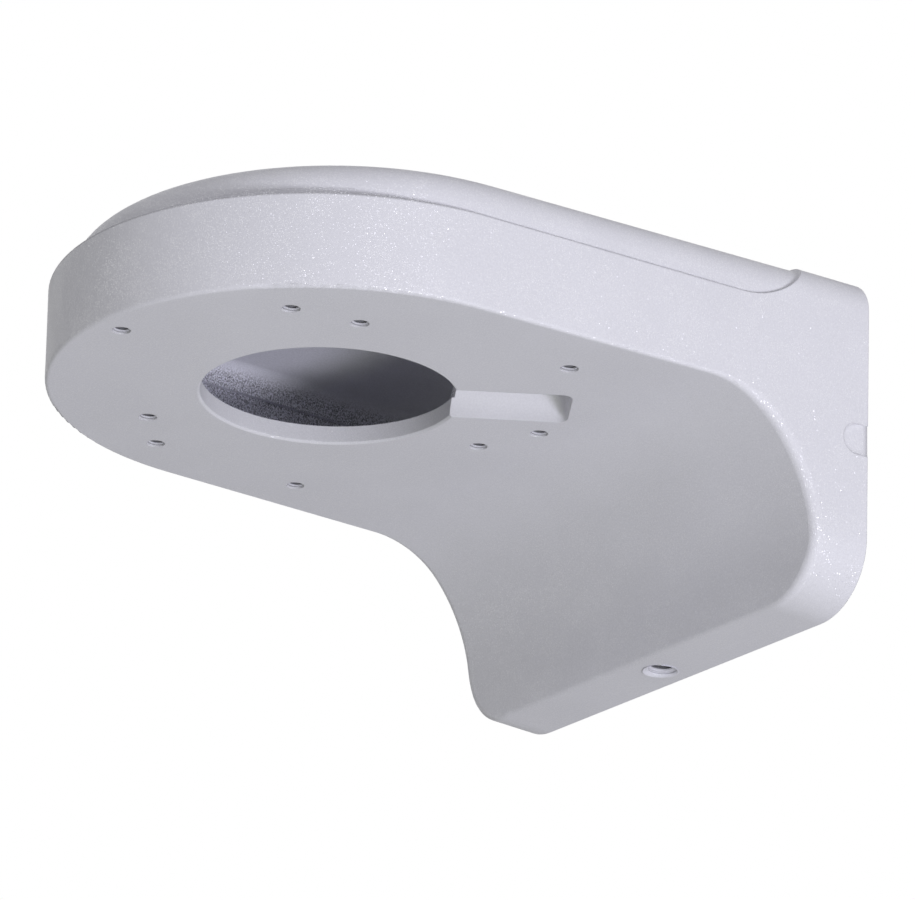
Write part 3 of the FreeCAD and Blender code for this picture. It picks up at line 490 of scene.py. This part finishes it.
points = []
faces = []
depth_shade = []
screw_turns = (FLOOR + BOSS_RISE - SCREW_END_GAP) / SCREW_PITCH
for name, turn in SCREW_TURNS.items():
    radius = mounts[name]["dims"]["pcd_mm"] / 2 * MM
    for third in range(3):
        angle = math.radians(turn + 120 * third)
        across = -radius * math.sin(angle)
        start = Vector((across, hole_centre.y + radius * math.cos(angle), underside + SCREW_START))
        ridge_points, ridge_faces, ridge_depth_shade = thread_ridge(
            start, SCREW_RADIUS, SCREW_CREST, SCREW_PITCH, screw_turns, SCREW_PHASE, 0.0, SCREW_COATED)
        faces += [tuple(k + len(points) for k in face) for face in ridge_faces]
        points += ridge_points
        depth_shade += ridge_depth_shade
camera_threads = mesh_piece("camera_screw_threads", points, faces, thread_coat)
mark_depth_shade(camera_threads, depth_shade)
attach(camera_threads, "root")

# Thread of the lock screw's port
# An M6 thread in the middle of the bottom face, tapped upwards from a chamfered mouth. The lock screw runs
# in it.

PORT_RADIUS = 3.0 * MM
PORT_CREST = 2.52 * MM
PORT_PITCH = 1.0 * MM
PORT_LEAD = 1.15 * MM
PORT_LENGTH = 8.0 * MM
PORT_START = -0.12 * MM
PORT_END_GAP = 0.4 * MM
PORT_PHASE = math.radians(-35)
PORT_COATED = (PORT_START, (0.4 * MM, 1.6 * MM), (1.5 * MM, 2.1 * MM))

screw_low, screw_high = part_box("lock_screw")
port_x = (screw_low.x + screw_high.x) / 2
port_y = (screw_low.y + screw_high.y) / 2
port_start = Vector((port_x, port_y, body_low.z + PORT_START))
port_turns = (PORT_LENGTH - PORT_START - PORT_END_GAP) / PORT_PITCH
points, faces, depth_shade = thread_ridge(
    port_start, PORT_RADIUS, PORT_CREST, PORT_PITCH, port_turns, PORT_PHASE, PORT_LEAD, PORT_COATED)
port_thread = mesh_piece("port_thread", points, faces, thread_coat)
mark_depth_shade(port_thread, depth_shade)
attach(port_thread, "root")

# The lock screw
# A short M6 socket set screw of zinc-plated steel with a dog point. It is driven up from below and its
# point locks in the wall plate's tongue, so the casting can't be lifted off.

# Painted shade: the plated steel gets a darker colour than its own, standing in for the shade deep in the
# port where the screw sits.
PLATED_STEEL_IN_SHADE = (0.46, 0.46, 0.48)
MAJOR = 2.94 * MM
MINOR = 2.42 * MM
KEY = 3.0 * MM
KEY_DEPTH = 2.8 * MM
KEY_CONE = 0.5 * MM
KEY_LEAD = 0.15 * MM
SCREW_EDGE = 0.5 * MM
TIP_RADIUS = 2.0 * MM
TIP_LENGTH = 3.2 * MM
MIDDLE = 0.02 * MM
AROUND = 72
ROWS_PER_TURN = 18

# Steel grain: crystals with a fine brushed grain over them, as a shade, a gloss and a height in metres
steel_grain, steel_in, steel_out = new_group(
    "steel_grain",
    [
        ("Crystal Size", "NodeSocketFloat", 5 * MM),
        ("Crystal Share", "NodeSocketFloat", 0.5),
        ("Brush Size", "NodeSocketFloat", 0.25 * MM),
    ],
    [("Shade", "NodeSocketFloat"), ("Gloss", "NodeSocketFloat"), ("Height", "NodeSocketFloat")],
)
tree = steel_grain
place = tree.nodes.new("ShaderNodeTexCoord").outputs["Object"]
crystal_scale = add_math(tree, "DIVIDE", 1.0, steel_in["Crystal Size"])
warp = add_node(tree, "ShaderNodeTexNoise", Vector=place, Scale=crystal_scale, Detail=2.0)
moved = add_vector_math(tree, "MULTIPLY_ADD", warp.outputs["Color"], (4 * MM, 4 * MM, 4 * MM), place)
crystals = add_node(tree, "ShaderNodeTexVoronoi", Vector=moved, Scale=crystal_scale)
crystal_pick = add_node(tree, "ShaderNodeSeparateColor", Color=crystals.outputs["Color"])
brush_scale = add_math(tree, "DIVIDE", 1.0, steel_in["Brush Size"])
brushed = add_node(tree, "ShaderNodeTexNoise", Vector=place, Scale=brush_scale, Detail=3.0, Roughness=0.6)
crystal_level = add_math(tree, "MULTIPLY", crystal_pick.outputs["Red"], steel_in["Crystal Share"])
tree.links.new(add_math(tree, "ADD", crystal_level, brushed.outputs["Fac"]), steel_out["Shade"])
crystal_gloss = add_math(tree, "MULTIPLY", crystal_pick.outputs["Green"], steel_in["Crystal Share"])
tree.links.new(add_math(tree, "ADD", crystal_gloss, brushed.outputs["Fac"]), steel_out["Gloss"])
tree.links.new(add_math(tree, "MULTIPLY", brushed.outputs["Fac"], 0.006 * MM), steel_out["Height"])


def steel_material(name, base, grain, shade_span, gloss_span):
    """Bare or plated steel: its grain sets how bright and how glossy each spot is."""
    material, tree, shader = new_material(name)
    marks = place_group(tree, steel_grain, **grain)
    shade = add_ramp(tree, marks["Shade"], 0.2, 1.1, *shade_span)
    tree.links.new(add_vector_math(tree, "SCALE", base, scale=shade), shader.inputs["Base Color"])
    tree.links.new(add_ramp(tree, marks["Gloss"], 0.2, 1.1, *gloss_span), shader.inputs["Roughness"])
    shader.inputs["Metallic"].default_value = 1.0
    bevel = add_node(tree, "ShaderNodeBevel", Radius=0.15 * MM)
    bump = add_node(tree, "ShaderNodeBump", Strength=1.0, Distance=1.0, Height=marks["Height"])
    tree.links.new(bevel.outputs[0], bump.inputs["Normal"])
    tree.links.new(bump.outputs[0], shader.inputs["Normal"])
    return material


plated_steel = steel_material(
    "plated_screw_steel", PLATED_STEEL_IN_SHADE, {"Crystal_Share": 0.0}, (0.85, 1.1), (0.24, 0.42))


def hexagon(angle):
    """Distance from the middle to the wall of the hexagon socket, at an angle."""
    return KEY / 2 / math.cos((angle % (math.pi / 3)) - math.pi / 6)


def screw_surface(height, angle):
    """Radius of the screw's thread at a height above the port's start and an angle."""
    place = ((height / PORT_PITCH - (angle - PORT_PHASE) / (2 * math.pi) + 0.5) % 1.0) - 0.5
    share = min(1.0, max(0.0, (abs(place) - 0.08) / 0.34))
    return MINOR + (MAJOR - MINOR) * share


# Rings from the floor of the socket out over the end, up the thread and over the dog point
low = screw_low.z
shoulder = screw_high.z - TIP_LENGTH
steps = int((shoulder - low) / PORT_PITCH * ROWS_PER_TURN)
rings = [
    (low + KEY_DEPTH + KEY_CONE, lambda angle: MIDDLE),
    (low + KEY_DEPTH, hexagon),
    (low + KEY_LEAD, hexagon),
    (low, lambda angle: hexagon(angle) + KEY_LEAD),
]
for i in range(steps + 1):
    level = low + (shoulder - low) * i / steps
    edge = min(level - low, shoulder - level)
    limit = MAJOR - SCREW_EDGE + min(edge, SCREW_EDGE)
    rings.append((level, lambda angle, z=level, cap=limit: min(cap, screw_surface(z - port_start.z, angle))))
rings += [
    (shoulder, lambda angle: TIP_RADIUS),
    (screw_high.z - SCREW_EDGE, lambda angle: TIP_RADIUS),
    (screw_high.z, lambda angle: TIP_RADIUS - SCREW_EDGE),
    (screw_high.z, lambda angle: MIDDLE),
]
points = []
faces = []
for level, radius_at in rings:
    for j in range(AROUND):
        angle = 2 * math.pi * j / AROUND
        r = radius_at(angle)
        points.append((port_x + r * math.cos(angle), port_y + r * math.sin(angle), level))
for i in range(len(rings) - 1):
    for j in range(AROUND):
        a = i * AROUND + j
        b = i * AROUND + (j + 1) % AROUND
        faces.append((a, b, b + AROUND, a + AROUND))
faces.append(tuple(reversed(range(AROUND))))
faces.append(tuple(len(points) - AROUND + j for j in range(AROUND)))
lock_screw = mesh_piece("threaded_lock_screw", points, faces, plated_steel, sharp_angle=30.0)
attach(lock_screw, "root")
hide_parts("lock_screw")

# The wall plate
# Galvanised sheet steel, punched and folded in a press. It is screwed to the wall first, and the casting is
# hung on its two hooks from above.

STEEL_ZINC = (0.60, 0.62, 0.64)
ZINC_CRYSTALS = {"Crystal_Size": 6 * MM, "Crystal_Share": 0.55}
zinc_steel = steel_material("galvanised_steel", STEEL_ZINC, ZINC_CRYSTALS, (0.82, 1.12), (0.30, 0.50))
wall_plate = frame["nodes"]["wall_plate"]
wall_plate.data.materials[0] = zinc_steel

# Studio
# A plain pale floor far below, a white surround, and soft lamps: the key comes from the right and a little
# below.

scene = bpy.context.scene
scene.view_settings.view_transform = "Standard"

FLOOR_LEVEL = -1.7
FLOOR_HALF = 9.0
FLOOR_COLOUR = (0.82, 0.82, 0.83)
FLOOR_ROUGHNESS = 0.9
FLOOR_GLOW = 0.5
floor_mesh = bpy.data.meshes.new("floor")
corners = [(x * FLOOR_HALF, y * FLOOR_HALF, FLOOR_LEVEL) for x, y in ((-1, -1), (1, -1), (1, 1), (-1, 1))]
floor_mesh.from_pydata(corners, [], [(0, 1, 2, 3)])
floor = bpy.data.objects.new("floor", floor_mesh)
scene.collection.objects.link(floor)
floor_paint, tree, shader = new_material("floor_paint")
shader.inputs["Base Color"].default_value = (*FLOOR_COLOUR, 1.0)
shader.inputs["Roughness"].default_value = FLOOR_ROUGHNESS
shader.inputs["Emission Color"].default_value = (1.0, 1.0, 1.0, 1.0)
seen = tree.nodes.new("ShaderNodeLightPath")
glow = add_math(tree, "MULTIPLY", seen.outputs["Is Camera Ray"], FLOOR_GLOW)
tree.links.new(glow, shader.inputs["Emission Strength"])
floor_mesh.materials.append(floor_paint)
floor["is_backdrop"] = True

WORLD_LIGHT = 0.36
world = bpy.data.worlds.new("surround")
scene.world = world
world.use_nodes = True
tree = world.node_tree
background = tree.nodes["Background"]
seen = tree.nodes.new("ShaderNodeLightPath")
direct = add_math(tree, "MAXIMUM", seen.outputs["Is Camera Ray"], seen.outputs["Is Glossy Ray"])
direct = add_math(tree, "MAXIMUM", direct, seen.outputs["Is Transmission Ray"])
strength = add_node(tree, "ShaderNodeMix", _0=direct, _2=WORLD_LIGHT, _3=1.0)
background.inputs["Color"].default_value = (1.0, 1.0, 1.0, 1.0)
tree.links.new(strength.outputs[0], background.inputs["Strength"])

# Each lamp: azimuth and elevation in degrees, size in metres, watts and colour
LAMP_TARGET = Vector((0.0, -0.08, 0.0))
LAMP_DISTANCE = 1.2
LAMPS = {
    "key": (90, -30, 0.3, 6.2, (0.86, 0.84, 1.0)),
    "second_key": (78, -34, 0.3, 2.7, (0.96, 1.0, 0.86)),
    "front_fill": (60, 15, 0.4, 2.0, (0.84, 0.82, 1.0)),
}


def direction(azimuth, elevation):
    """The unit vector towards a place round the object. Azimuth 0 is in front of it and 90 to its right."""
    a = math.radians(azimuth)
    e = math.radians(elevation)
    return Vector((math.sin(a) * math.cos(e), -math.cos(a) * math.cos(e), math.sin(e)))


for name, (azimuth, elevation, size, power, lamp_colour) in LAMPS.items():
    data = bpy.data.lights.new(name, "AREA")
    data.shape = "DISK"
    data.size = size
    data.energy = power
    data.color = lamp_colour
    lamp = bpy.data.objects.new(name, data)
    towards = direction(azimuth, elevation)
    lamp.location = LAMP_TARGET + towards * LAMP_DISTANCE
    lamp.rotation_mode = "QUATERNION"
    lamp.rotation_quaternion = towards.to_track_quat("Z", "Y")
    lamp.visible_camera = False
    scene.collection.objects.link(lamp)

# The camera of the photograph
CAMERA_PLACE = Vector((0.86783, -0.66912, -0.40838))
CAMERA_AZIMUTH = 55.06
CAMERA_ELEVATION = -21.17
CAMERA_ROLL = 1.60
FOCAL_PIXELS = 5155.0
IMAGE_WIDTH = 915.0
SENSOR_WIDTH = 36.0
back = direction(CAMERA_AZIMUTH, CAMERA_ELEVATION)
right = Vector((0, 0, 1)).cross(back).normalized()
upwards = back.cross(right)
roll = Matrix.Rotation(math.radians(CAMERA_ROLL), 3, back)
axes = Matrix((roll @ right, roll @ upwards, back)).transposed()
camera_data = bpy.data.cameras.new("photo_camera")
camera_data.sensor_width = SENSOR_WIDTH
camera_data.lens = FOCAL_PIXELS / IMAGE_WIDTH * SENSOR_WIDTH
camera_data.clip_start = 0.05
camera_data.clip_end = 50.0
camera = bpy.data.objects.new("photo_camera", camera_data)
camera.matrix_world = Matrix.Translation(CAMERA_PLACE) @ axes.to_4x4()
scene.collection.objects.link(camera)
scene.camera = camera

low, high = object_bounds()
